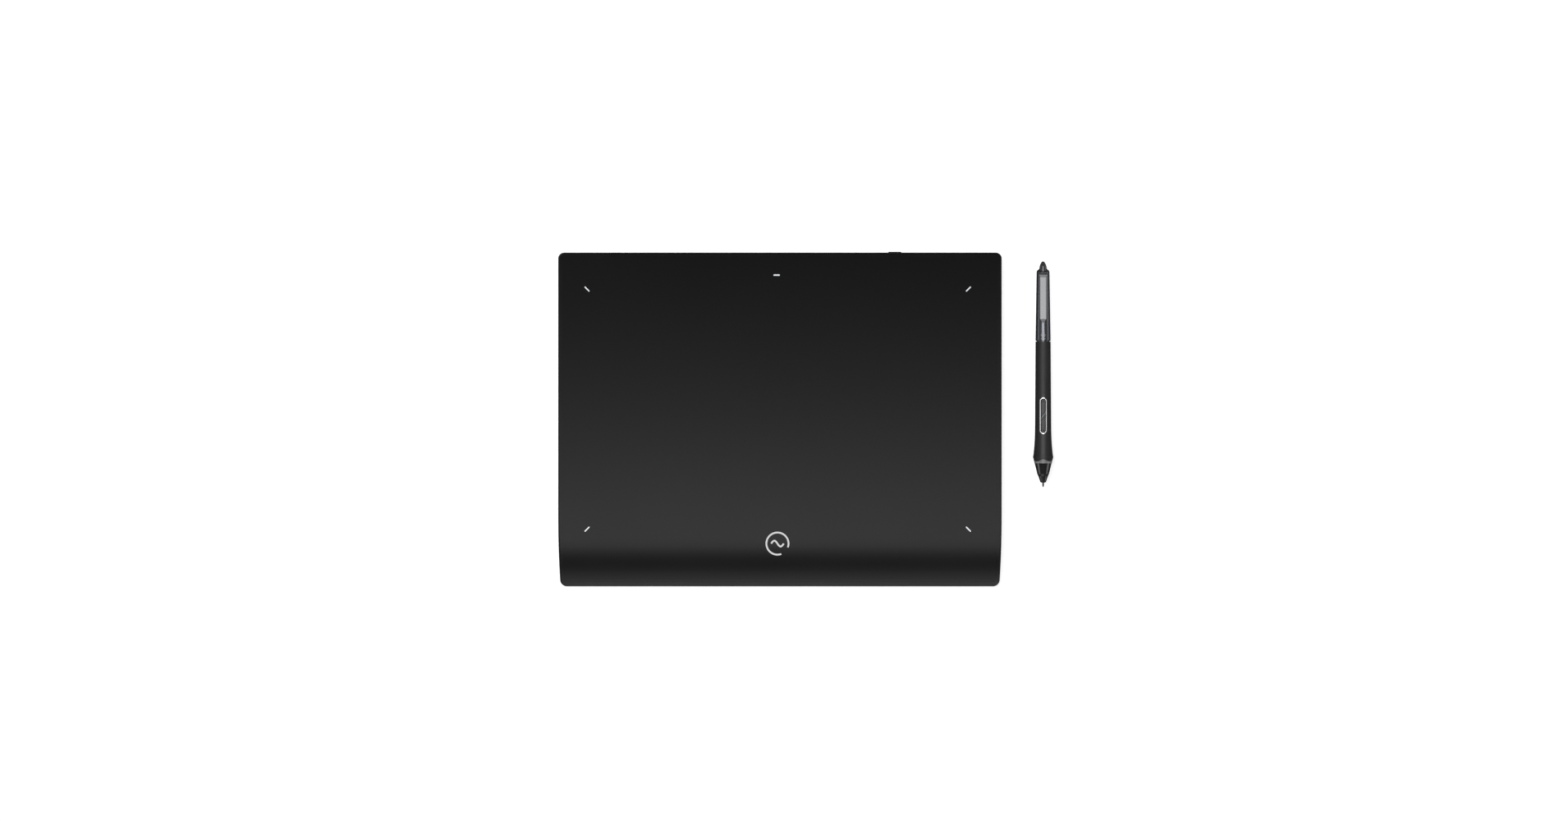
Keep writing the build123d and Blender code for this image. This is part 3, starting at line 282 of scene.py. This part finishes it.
SURFACES = {
    "case_plastic": dict(
        color=(0.0052, 0.0052, 0.0054), rough=0.30, grain=2600, grain_depth=0.010,
        grain_strength=0.25, wear=0.35, wear_radius=0.0004, dust=0.03, tint=0.15),
    "drawing_surface": dict(
        color=(0.0034, 0.0034, 0.0035), rough=0.295, grain=3400, grain_depth=0.008,
        grain_strength=0.22, cloud=14, tint=0.10, rough_var=0.012, dust=0.02),
    "cover_metal": dict(
        color=(0.022, 0.022, 0.024), rough=0.42, metal=0.6, grain=5200, grain_depth=0.01,
        wear=0.5, tint=0.1),
    "foot_rubber": dict(
        color=(0.012, 0.012, 0.012), rough=0.72, grain=2200, grain_depth=0.03,
        grain_strength=0.6, dust=0.12, spec=0.3),
    "screw_steel": dict(
        color=(0.16, 0.16, 0.17), rough=0.34, metal=1.0, grain=2500, stretch=(1, 8, 1),
        wear=0.8, wear_radius=0.0002),
    "shield_foil": dict(
        color=(0.55, 0.55, 0.56), rough=0.32, metal=1.0, grain=900, stretch=(1, 14, 1),
        grain_depth=0.03),
    "frame_plastic": dict(
        color=(0.03, 0.03, 0.032), rough=0.5, grain=1800, grain_depth=0.02),
    "battery_pouch": dict(
        color=(0.5, 0.51, 0.53), rough=0.33, metal=0.9, grain=350, grain_depth=0.12,
        grain_strength=0.5, rough_var=0.1),
    "lead_insulation": dict(color=(0.32, 0.012, 0.01), rough=0.35, grain=1500),
    "connector_plastic": dict(color=(0.58, 0.54, 0.44), rough=0.45, grain=1800),
    "chip_epoxy": dict(
        color=(0.016, 0.016, 0.018), rough=0.55, grain=4200, grain_depth=0.02),
    "tinned_steel": dict(
        color=(0.56, 0.56, 0.58), rough=0.25, metal=1.0, grain=1400, stretch=(1, 10, 1),
        wear=0.4, wear_radius=0.00025),
    "antenna_ceramic": dict(color=(0.6, 0.6, 0.56), rough=0.4, grain=3000),
    "switch_plastic": dict(color=(0.02, 0.02, 0.021), rough=0.45, grain=2400),
    "flex_film": dict(
        color=(0.42, 0.16, 0.02), rough=0.22, grain=900, stretch=(18, 1, 1),
        grain_depth=0.02, coat=0.5),
    "led_body": dict(color=(0.75, 0.72, 0.5), rough=0.3, grain=2000),
    "light_pipe": dict(
        color=(0.7, 0.72, 0.74), rough=0.35, grain=3000, emit=(0.93, 0.97, 1.0),
        emit_strength=0.55),
    "button_metal": dict(
        color=(0.055, 0.055, 0.058), rough=0.33, metal=0.7, grain=1900,
        stretch=(1, 1, 9), wear=0.7, wear_radius=0.0003),
    "grip_rubber": dict(
        color=(0.016, 0.016, 0.0165), rough=0.47, grain=5200, grain_depth=0.014,
        grain_strength=0.5, sheen=0.03, spec=0.42, tint=0.1, dust=0.02),
    "collar_plastic": dict(
        color=(0.13, 0.13, 0.132), rough=0.34, grain=4200, wear=0.3, wear_radius=0.0003),
    "cone_plastic": dict(
        color=(0.0105, 0.0105, 0.011), rough=0.24, grain=4200, grain_depth=0.006,
        coat=0.25),
    "nib_plastic": dict(color=(0.009, 0.009, 0.009), rough=0.42, grain=5000),
    "pen_frame": dict(color=(0.04, 0.04, 0.042), rough=0.5, grain=2600),
    "ferrite": dict(color=(0.028, 0.028, 0.03), rough=0.5, grain=3600, grain_depth=0.03),
    "sensor_can": dict(
        color=(0.5, 0.5, 0.51), rough=0.28, metal=1.0, grain=2200, stretch=(1, 6, 1)),
    "bezel_chrome": dict(
        color=(0.62, 0.62, 0.63), rough=0.17, metal=1.0, grain=2600, grain_depth=0.004,
        tint=0.04, wear=0.2, wear_radius=0.0002),
    "key_plastic": dict(
        color=(0.020, 0.020, 0.021), rough=0.46, grain=4200, grain_depth=0.012, wear=0.3,
        wear_radius=0.0002),
    "divider_metal": dict(color=(0.11, 0.11, 0.112), rough=0.3, metal=0.3, grain=2600),
    "tail_metal": dict(
        color=(0.150, 0.156, 0.170), rough=0.23, metal=0.92, grain=2400,
        grain_depth=0.003, grain_strength=0.2, stretch=(9, 1, 9), rough_var=0.02,
        tint=0.04),
    "clip_metal": dict(
        color=(0.225, 0.228, 0.234), rough=0.25, metal=1.0, grain=2600,
        grain_depth=0.004, grain_strength=0.25, stretch=(9, 1, 9), rough_var=0.03,
        tint=0.04),
    "tail_gloss": dict(
        color=(0.075, 0.075, 0.08), rough=0.16, metal=0.6, grain=2600,
        grain_depth=0.003, coat=0.5, tint=0.05),
    # white print that also glows a little: painted glow, brighter than its lighting makes it
    "print_with_painted_glow": dict(
        color=(0.80, 0.80, 0.80), rough=0.5, grain=3800, grain_depth=0.01, tint=0.03,
        emit=(1, 1, 1), emit_strength=0.28),
    "pen_ink": dict(color=(0.30, 0.30, 0.31), rough=0.4, grain=3800, tint=0.05),
    "label_film": dict(color=(0.10, 0.10, 0.103), rough=0.36, grain=2400, tint=0.06),
}
materials = {name: surface(name, **values) for name, values in SURFACES.items()}
materials["circuit_board"] = circuit(
    "circuit_board", mask=(0.012, 0.08, 0.035), track=(0.02, 0.13, 0.055),
    pad=(0.55, 0.42, 0.18), scale=260.0,
)
materials["copper_wire"] = wound("copper_wire", color=(0.62, 0.24, 0.09), pitch=0.0006)

# material: the pieces made of it
PIECES = {
    "case_plastic": "top_shell",
    "drawing_surface": "drawing_sheet",
    "cover_metal": "bottom_cover",
    "foot_rubber": "rear_feet front_feet pen_joint_seal",
    "screw_steel": "case_screws board_screws",
    "circuit_board": "sensor_board main_board pen_circuit_board",
    "shield_foil": "sensor_shield",
    "frame_plastic": "support_frame",
    "battery_pouch": "battery_pack",
    "lead_insulation": "battery_leads",
    "connector_plastic": "battery_connector flex_connector",
    "chip_epoxy": "board_chips pen_board_chips",
    "tinned_steel": "radio_shield_can usb_port_shell",
    "antenna_ceramic": "chip_antenna",
    "switch_plastic": "usb_port_tongue power_switch pen_side_switches",
    "flex_film": "sensor_flex",
    "button_metal": "power_button",
    "led_body": "corner_leds status_led",
    "light_pipe": "corner_light_pipes status_light_pipe",
    "grip_rubber": "pen_grip",
    "collar_plastic": "pen_collar",
    "cone_plastic": "pen_nose_cone",
    "nib_plastic": "pen_nib",
    "pen_frame": "pen_nib_holder pen_inner_frame",
    "ferrite": "pen_ferrite_core pen_eraser_core",
    "copper_wire": "pen_coil pen_eraser_coil",
    "sensor_can": "pen_pressure_sensor pen_eraser_sensor",
    "bezel_chrome": "pen_button_bezel",
    "key_plastic": "pen_front_button pen_rear_button",
    "divider_metal": "pen_button_divider",
    "tail_metal": "pen_tail_barrel",
    "clip_metal": "pen_clip",
    "tail_gloss": "pen_eraser",
}
made_of = {piece: name for name, pieces in PIECES.items() for piece in pieces.split()}
for name, obj in nodes.items():
    material = materials[made_of[name]]
    if not obj.data.materials:
        obj.data.materials.append(material)
    for slot in obj.material_slots:
        slot.material = material


# ------------------------------------------------------------------ printed marks
def tree_of(node):
    mesh = nodes[node].data
    return BVHTree.FromPolygons(
        [v.co.copy() for v in mesh.vertices], [tuple(p.vertices) for p in mesh.polygons]
    )


def height_on(tree, x, y):
    """Height of the surface under a point, or of the sheet's top where there is none."""
    hit = tree.ray_cast(Vector((x, y, 0.2)), Vector((0, 0, -1)))[0]
    return hit.z if hit else SHEET_TOP


def bridge(bm, loop, following):
    """Faces between two closed loops of vertices."""
    count = len(loop)
    for i in range(count):
        j = (i + 1) % count
        bm.faces.new((loop[i], loop[j], following[j], following[i]))


def band(bm, tree, line, width, closed=False, thick=0.03 * MM, sink=0.02 * MM):
    """A printed line of ink laid over a surface, thinner along its two edges."""
    count = len(line)
    rings = []
    for i, (x, y) in enumerate(line):
        before = line[(i - 1) % count] if closed or i else (x, y)
        after = line[(i + 1) % count] if closed or i < count - 1 else (x, y)
        along = Vector((after[0] - before[0], after[1] - before[1]))
        along = along.normalized() if along.length else Vector((1, 0))
        side = Vector((-along.y, along.x)) * width / 2
        upper, lower = [], []
        for across, share in ((-1, 0.6), (-0.5, 1), (0, 1), (0.5, 1), (1, 0.6)):
            px, py = x + side.x * across, y + side.y * across
            z = height_on(tree, px, py)
            upper.append((px, py, z + thick * share))
            lower.append((px, py, z - sink))
        rings.append([bm.verts.new(p) for p in upper + lower[::-1]])
    for ring, following in zip(rings, rings[1:]):
        bridge(bm, ring, following)
    if closed:
        bridge(bm, rings[-1], rings[0])
    else:
        bm.faces.new(rings[0][::-1])
        bm.faces.new(rings[-1])


def make_object(bm, name, material, body):
    bmesh.ops.recalc_face_normals(bm, faces=bm.faces)
    mesh = bpy.data.meshes.new(name)
    bm.to_mesh(mesh)
    bm.free()
    obj = bpy.data.objects.new(name, mesh)
    bpy.context.scene.collection.objects.link(obj)
    mesh.materials.append(material)
    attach(obj, body)
    return obj


def arc(cx, cy, radius, steps, start=0.0, end=2 * math.pi):
    angles = [start + (end - start) * i / steps for i in range(steps + 1)]
    return [(cx + radius * math.cos(a), cy + radius * math.sin(a)) for a in angles]


def surface_emblem():
    """A broken ring round a small hill-and-valley stroke, near the sheet's front edge."""
    x, y = CENTER_X - 1.8 * MM, CENTER_Y - 90.9 * MM
    line_width = 1.25 * MM
    half_stroke, stroke_height, steps = 4.6, 2.1, 40  # lengths in mm
    tree = tree_of("drawing_sheet")
    bm = bmesh.new()
    ring = arc(x, y, 8.1 * MM, 96, start=math.radians(-20), end=math.radians(290))
    band(bm, tree, ring, line_width)
    stroke = [
        (
            x + (-half_stroke + 2 * half_stroke * t / steps) * MM,
            y + stroke_height * math.sin(2 * math.pi * t / steps) * MM,
        )
        for t in range(steps + 1)
    ]
    band(bm, tree, stroke, line_width)
    obj = make_object(bm, "surface_emblem", materials["print_with_painted_glow"], "tablet")
    return obj


def pen_mark():
    """A small ring on the tail barrel with a bar across the pen on its nose side."""
    y = TAIL_START + 10.6 * MM
    bar_y = y - 2.6 * MM
    half_bar, steps = 1.5, 12  # half length in mm
    ink = dict(width=0.34 * MM, thick=0.02 * MM)
    tree = tree_of("pen_tail_barrel")
    bm = bmesh.new()
    band(bm, tree, arc(PEN_X, y, 1.35 * MM, 40)[:-1], closed=True, **ink)
    bar = [
        (PEN_X + (-half_bar + 2 * half_bar * t / steps) * MM, bar_y)
        for t in range(steps + 1)
    ]
    band(bm, tree, bar, **ink)
    obj = make_object(bm, "pen_emblem", materials["pen_ink"], "pen")
    return obj


def rating_label():
    """A blank label with rounded corners, under the case."""
    cx, cy = CENTER_X, CENTER_Y + 40 * MM
    width, depth, radius = 74 * MM, 30 * MM, 2 * MM
    bottom, top = COVER_BOTTOM - 0.06 * MM, COVER_BOTTOM + 0.01 * MM
    bottom_inset = 0.05 * MM
    corner_steps = 8
    bm = bmesh.new()
    loops = []
    for z, inset in ((top, 0.0), (bottom + (top - bottom) * 0.5, 0.0), (bottom, bottom_inset)):
        loop = []
        for sx, sy, start in ((1, 1, 0), (-1, 1, 90), (-1, -1, 180), (1, -1, 270)):
            x, y = cx + sx * (width / 2 - radius), cy + sy * (depth / 2 - radius)
            for i in range(corner_steps + 1):
                a = math.radians(start + 90 * i / corner_steps)
                r = radius - inset
                loop.append(bm.verts.new((x + r * math.cos(a), y + r * math.sin(a), z)))
        loops.append(loop)
    for loop, following in zip(loops, loops[1:]):
        bridge(bm, loop, following)
    bm.faces.new(loops[0])
    bm.faces.new(loops[-1][::-1])
    obj = make_object(bm, "rating_label", materials["label_film"], "tablet")
    return obj


emblem = surface_emblem()
pen_emblem = pen_mark()
label = rating_label()


# ------------------------------------------------------------------ stage
def stage_sheet(name, material, low, high, z, facing_down=False):
    """A level rectangle between two (x, y) corners."""
    (x0, y0), (x1, y1) = low, high
    corners = [(x0, y0, z), (x1, y0, z), (x1, y1, z), (x0, y1, z)]
    if facing_down:
        corners[1], corners[3] = corners[3], corners[1]
    mesh = bpy.data.meshes.new(name)
    mesh.from_pydata(corners, [], [(0, 1, 2, 3)])
    mesh.materials.append(material)
    obj = bpy.data.objects.new(name, mesh)
    bpy.context.scene.collection.objects.link(obj)
    return obj


def light_group(name, objects):
    """A collection of the objects that a light is limited to."""
    group = bpy.data.collections.new(name)
    for obj in objects:
        group.objects.link(obj)
    return group


def light_only(obj, group):
    """Keep a light out of the picture and let it reach one group."""
    obj.visible_camera = False
    obj.light_linking.receiver_collection = group


def floor_paint():
    """Pale floor for the camera, grey to other rays, clear from below."""
    white = (1, 1, 1)
    graph = material_graph("floor_paint")
    geometry = graph.add("NewGeometry").outputs
    steepness = graph.part(geometry["Incoming"], "Z")
    seen = graph.add("BsdfDiffuse", {"Color": (0.9, 0.9, 0.9)})
    # seen from straight above the desk is nearly white, from lower down it shows its shadows
    lift = graph.ramp(steepness, [(0.04, 0.56), (0.24, 0.43), (0.80, 0.43), (0.97, 0.80)])
    glow = graph.add("Emission", {"Color": white, "Strength": lift})
    desk = graph.add("AddShader", {0: seen, 1: glow})
    # the desk fades into an even haze away from the tablet
    reach = graph.add(
        "VectorMath", {0: geometry["Position"], 1: (CENTER_X, CENTER_Y, 0)},
        operation="DISTANCE",
    ).outputs["Value"]
    haze_level = graph.remap(steepness, to=(0.97, 1.03), span=(0.80, 0.97))
    haze = graph.add("Emission", {"Color": white, "Strength": haze_level})
    distance = graph.remap(
        reach, to=(0.0, 1.0), span=(0.22, 0.62), interpolation_type="SMOOTHSTEP"
    )
    fade = graph.mix_shader(distance, desk, haze)
    bounce = graph.add("BsdfDiffuse", {"Color": (0.24, 0.24, 0.24)})
    camera_ray = graph.add("LightPath").outputs["Is Camera Ray"]
    pick = graph.mix_shader(camera_ray, bounce, fade)
    clear = graph.add("BsdfTransparent")
    return graph.finish(graph.mix_shader(geometry["Backfacing"], pick, clear))


FLOOR_HALF = 60.0
floor = stage_sheet(
    "floor", floor_paint(), (-FLOOR_HALF, -FLOOR_HALF), (FLOOR_HALF, FLOOR_HALF), z=-0.0001
)

# ------------------------------------------------------------------ what each light reaches
UNDERSIDE = ("bottom_cover", "rear_feet", "front_feet", "case_screws")
tablet = {name: obj for name, obj in nodes.items() if not name.startswith("pen_")}
upper = [obj for name, obj in tablet.items() if name not in UNDERSIDE]
lower = [obj for name, obj in tablet.items() if name in UNDERSIDE]
pen_body = [
    obj for name, obj in nodes.items()
    if name.startswith("pen_") and name not in ("pen_nose_cone", "pen_clip")
]
tail_end = [nodes[name] for name in ("pen_tail_barrel", "pen_clip", "pen_eraser")]

desk_only = light_group("desk_only", [floor])
object_lit = light_group("object_lit", [*nodes.values(), emblem, pen_emblem, label])
tablet_lit = light_group("tablet_lit", [*tablet.values(), label, emblem])
upper_lit = light_group("upper_lit", [*upper, emblem])
lower_lit = light_group("lower_lit", [*lower, label])
pen_lit = light_group("pen_lit", [*pen_body, pen_emblem])
clip_lit = light_group("clip_lit", [nodes["pen_clip"]])
nose_lit = light_group("nose_lit", [nodes["pen_nose_cone"], nodes["pen_collar"]])
tail_edge_lit = light_group("tail_edge_lit", tail_end)


# ------------------------------------------------------------------ glowing sheets
def desk_bounce(name, z, level, group, shallow):
    """A see-through sheet just over the floor that glows upward onto one group.

    A shallow one glows only in directions that rise gently from the desk.
    """
    graph = material_graph(name)
    glow = graph.add("Emission", {"Strength": level})
    geometry = graph.add("NewGeometry").outputs
    if shallow:
        steepness = graph.part(geometry["Incoming"], "Z")
        fading = graph.remap(steepness, to=(level, 0.0), span=(0.46, 0.68))
        graph.plug(glow, "Strength", fading)
    through = graph.add("BsdfTransparent")
    both = graph.add("AddShader", {0: glow, 1: through})
    material = graph.finish(graph.mix_shader(geometry["Backfacing"], both, through))
    half = 0.5
    low, high = (CENTER_X - half, CENTER_Y - half), (CENTER_X + half, CENTER_Y + half)
    obj = stage_sheet(name, material, low, high, z)
    obj.visible_shadow = False
    light_only(obj, group)


# (distance along Y from the tablet's middle, level)
OVERHEAD_STOPS = [
    (-1.0, 1.1), (-0.46, 1.16), (-0.37, 0.38), (-0.31, 0.03),
    (-0.24, 0.02), (-0.20, 0.16), (-0.15, 1.10), (-0.10, 1.47),
    (-0.05, 0.88), (0.0, 0.48), (0.06, 0.29), (0.12, 0.14),
    (0.25, 0.03), (0.55, 0.02),
]


def overhead_softbox(name, half_width, z):
    """A soft panel facing the desk, its brightness graded along Y."""
    stops = [(CENTER_Y + offset, level) for offset, level in OVERHEAD_STOPS]
    y0, y1 = stops[0][0], stops[-1][0]
    graph = material_graph(name)
    y = graph.part(graph.add("NewGeometry").outputs["Position"], "Y")
    along = graph.remap(y, to=(0.0, 1.0), span=(y0, y1))
    levels = graph.ramp(along, [((at - y0) / (y1 - y0), level) for at, level in stops])
    material = graph.finish(graph.add("Emission", {"Color": levels, "Strength": 1.0}))
    low, high = (CENTER_X - half_width, y0), (CENTER_X + half_width, y1)
    obj = stage_sheet(name, material, low, high, z, facing_down=True)
    obj.visible_shadow = False
    light_only(obj, object_lit)


desk_bounce("desk_bounce_sides", z=-0.00004, level=0.55, group=upper_lit, shallow=True)
desk_bounce("desk_bounce_under", z=-0.00007, level=0.50, group=lower_lit, shallow=False)
overhead_softbox("overhead_softbox", half_width=0.36, z=0.42)


# ------------------------------------------------------------------ area lights
def area(name, place, aim, size, radiance, group):
    """A rectangular softbox that stays out of the picture."""
    data = bpy.data.lights.new(name, "AREA")
    data.shape = "RECTANGLE"
    data.size, data.size_y = size
    data.energy = radiance * math.pi * size[0] * size[1]
    obj = bpy.data.objects.new(name, data)
    bpy.context.scene.collection.objects.link(obj)
    obj.location = place
    obj.rotation_euler = (Vector(aim) - Vector(place)).to_track_quat("-Z", "Y").to_euler()
    light_only(obj, group)


# the desk's own light, from behind on the left, so that its shadows stay soft and even
area(
    "desk_light", place=(CENTER_X - 0.5, CENTER_Y + 0.5, 1.6), aim=(CENTER_X, CENTER_Y, 0.0),
    size=(1.6, 1.6), radiance=2.9, group=desk_only,
)

for name, radiance, group in (("pen_key", 3.1, pen_lit), ("clip_key", 1.8, clip_lit)):
    area(
        name, place=(PEN_X, PEN_Y, 0.40), aim=(PEN_X, PEN_Y, 0.0),
        size=(0.24, 0.60), radiance=radiance, group=group,
    )

# strips on both sides of the pen:
# part, Y from PEN_Y, height, size across, left and right radiance, group
STRIPS = (
    ("nose", -0.08, 0.12, 0.24, (1.9, 1.9), nose_lit),
    ("tail", 0.02, 0.07, 0.12, (1.1, 1.1), tail_edge_lit),
    ("clip", 0.06, 0.19, 0.16, (1.5, 1.0), clip_lit),
)
for index, (side, x) in enumerate((("left", PEN_X - 0.50), ("right", PEN_X + 0.50))):
    for part, offset, z, across, radiances, group in STRIPS:
        area(
            f"{part}_{side}_strip", place=(x, PEN_Y + offset, z),
            aim=(PEN_X, PEN_Y - 0.08, 0.01), size=(0.6, across),
            radiance=radiances[index], group=group,
        )

# low side panels that draw a soft gradient over the flat top when it is seen from lower down
for name, x, y, z, radiance in (
    ("rear_left_panel", -0.30, 0.30, 0.22, 1.9),
    ("front_right_panel", 0.34, -0.34, 0.14, 1.2),
):
    area(
        name, place=(CENTER_X + x, CENTER_Y + y, z), aim=(CENTER_X, CENTER_Y, 0.01),
        size=(0.26, 0.16), radiance=radiance, group=tablet_lit,
    )


# ------------------------------------------------------------------ world and camera
def studio_world():
    """A dim graded sky for light, plain pale for the camera."""
    graph = Graph(bpy.data.worlds.new("studio"))
    height = graph.part(graph.add("TexCoord").outputs["Generated"], "Z")
    sky = graph.ramp(height, [(0.0, 0.12), (0.10, 0.18), (0.28, 0.29), (0.55, 0.22), (0.8, 0.10)])
    dim = graph.add("Background", {"Color": sky, "Strength": 1.0})
    pale = graph.add("Background", {"Color": (0.96, 0.96, 0.96), "Strength": 1.0})
    camera_ray = graph.add("LightPath").outputs["Is Camera Ray"]
    return graph.finish(graph.mix_shader(camera_ray, dim, pale), "OutputWorld")


def top_camera():
    """A long lens looking straight down on the tablet."""
    lens, sensor = 250, 36  # in mm
    frame_width = 1.1487  # width seen at the height of the sheet
    data = bpy.data.cameras.new("camera")
    data.lens = lens
    data.sensor_width = sensor
    data.clip_end = 200
    camera = bpy.data.objects.new("camera", data)
    bpy.context.scene.collection.objects.link(camera)
    height = SHEET_TOP + frame_width * lens / sensor
    camera.location = (CENTER_X + 3.0 * MM, CENTER_Y + 6.6 * MM, height)
    camera.rotation_euler = (0, 0, 0)
    return camera


scene = bpy.context.scene
scene.world = studio_world()
scene.view_settings.view_transform = "Standard"
scene.view_settings.look = "None"
scene.view_settings.exposure = 0
scene.view_settings.gamma = 1
scene.camera = top_camera()
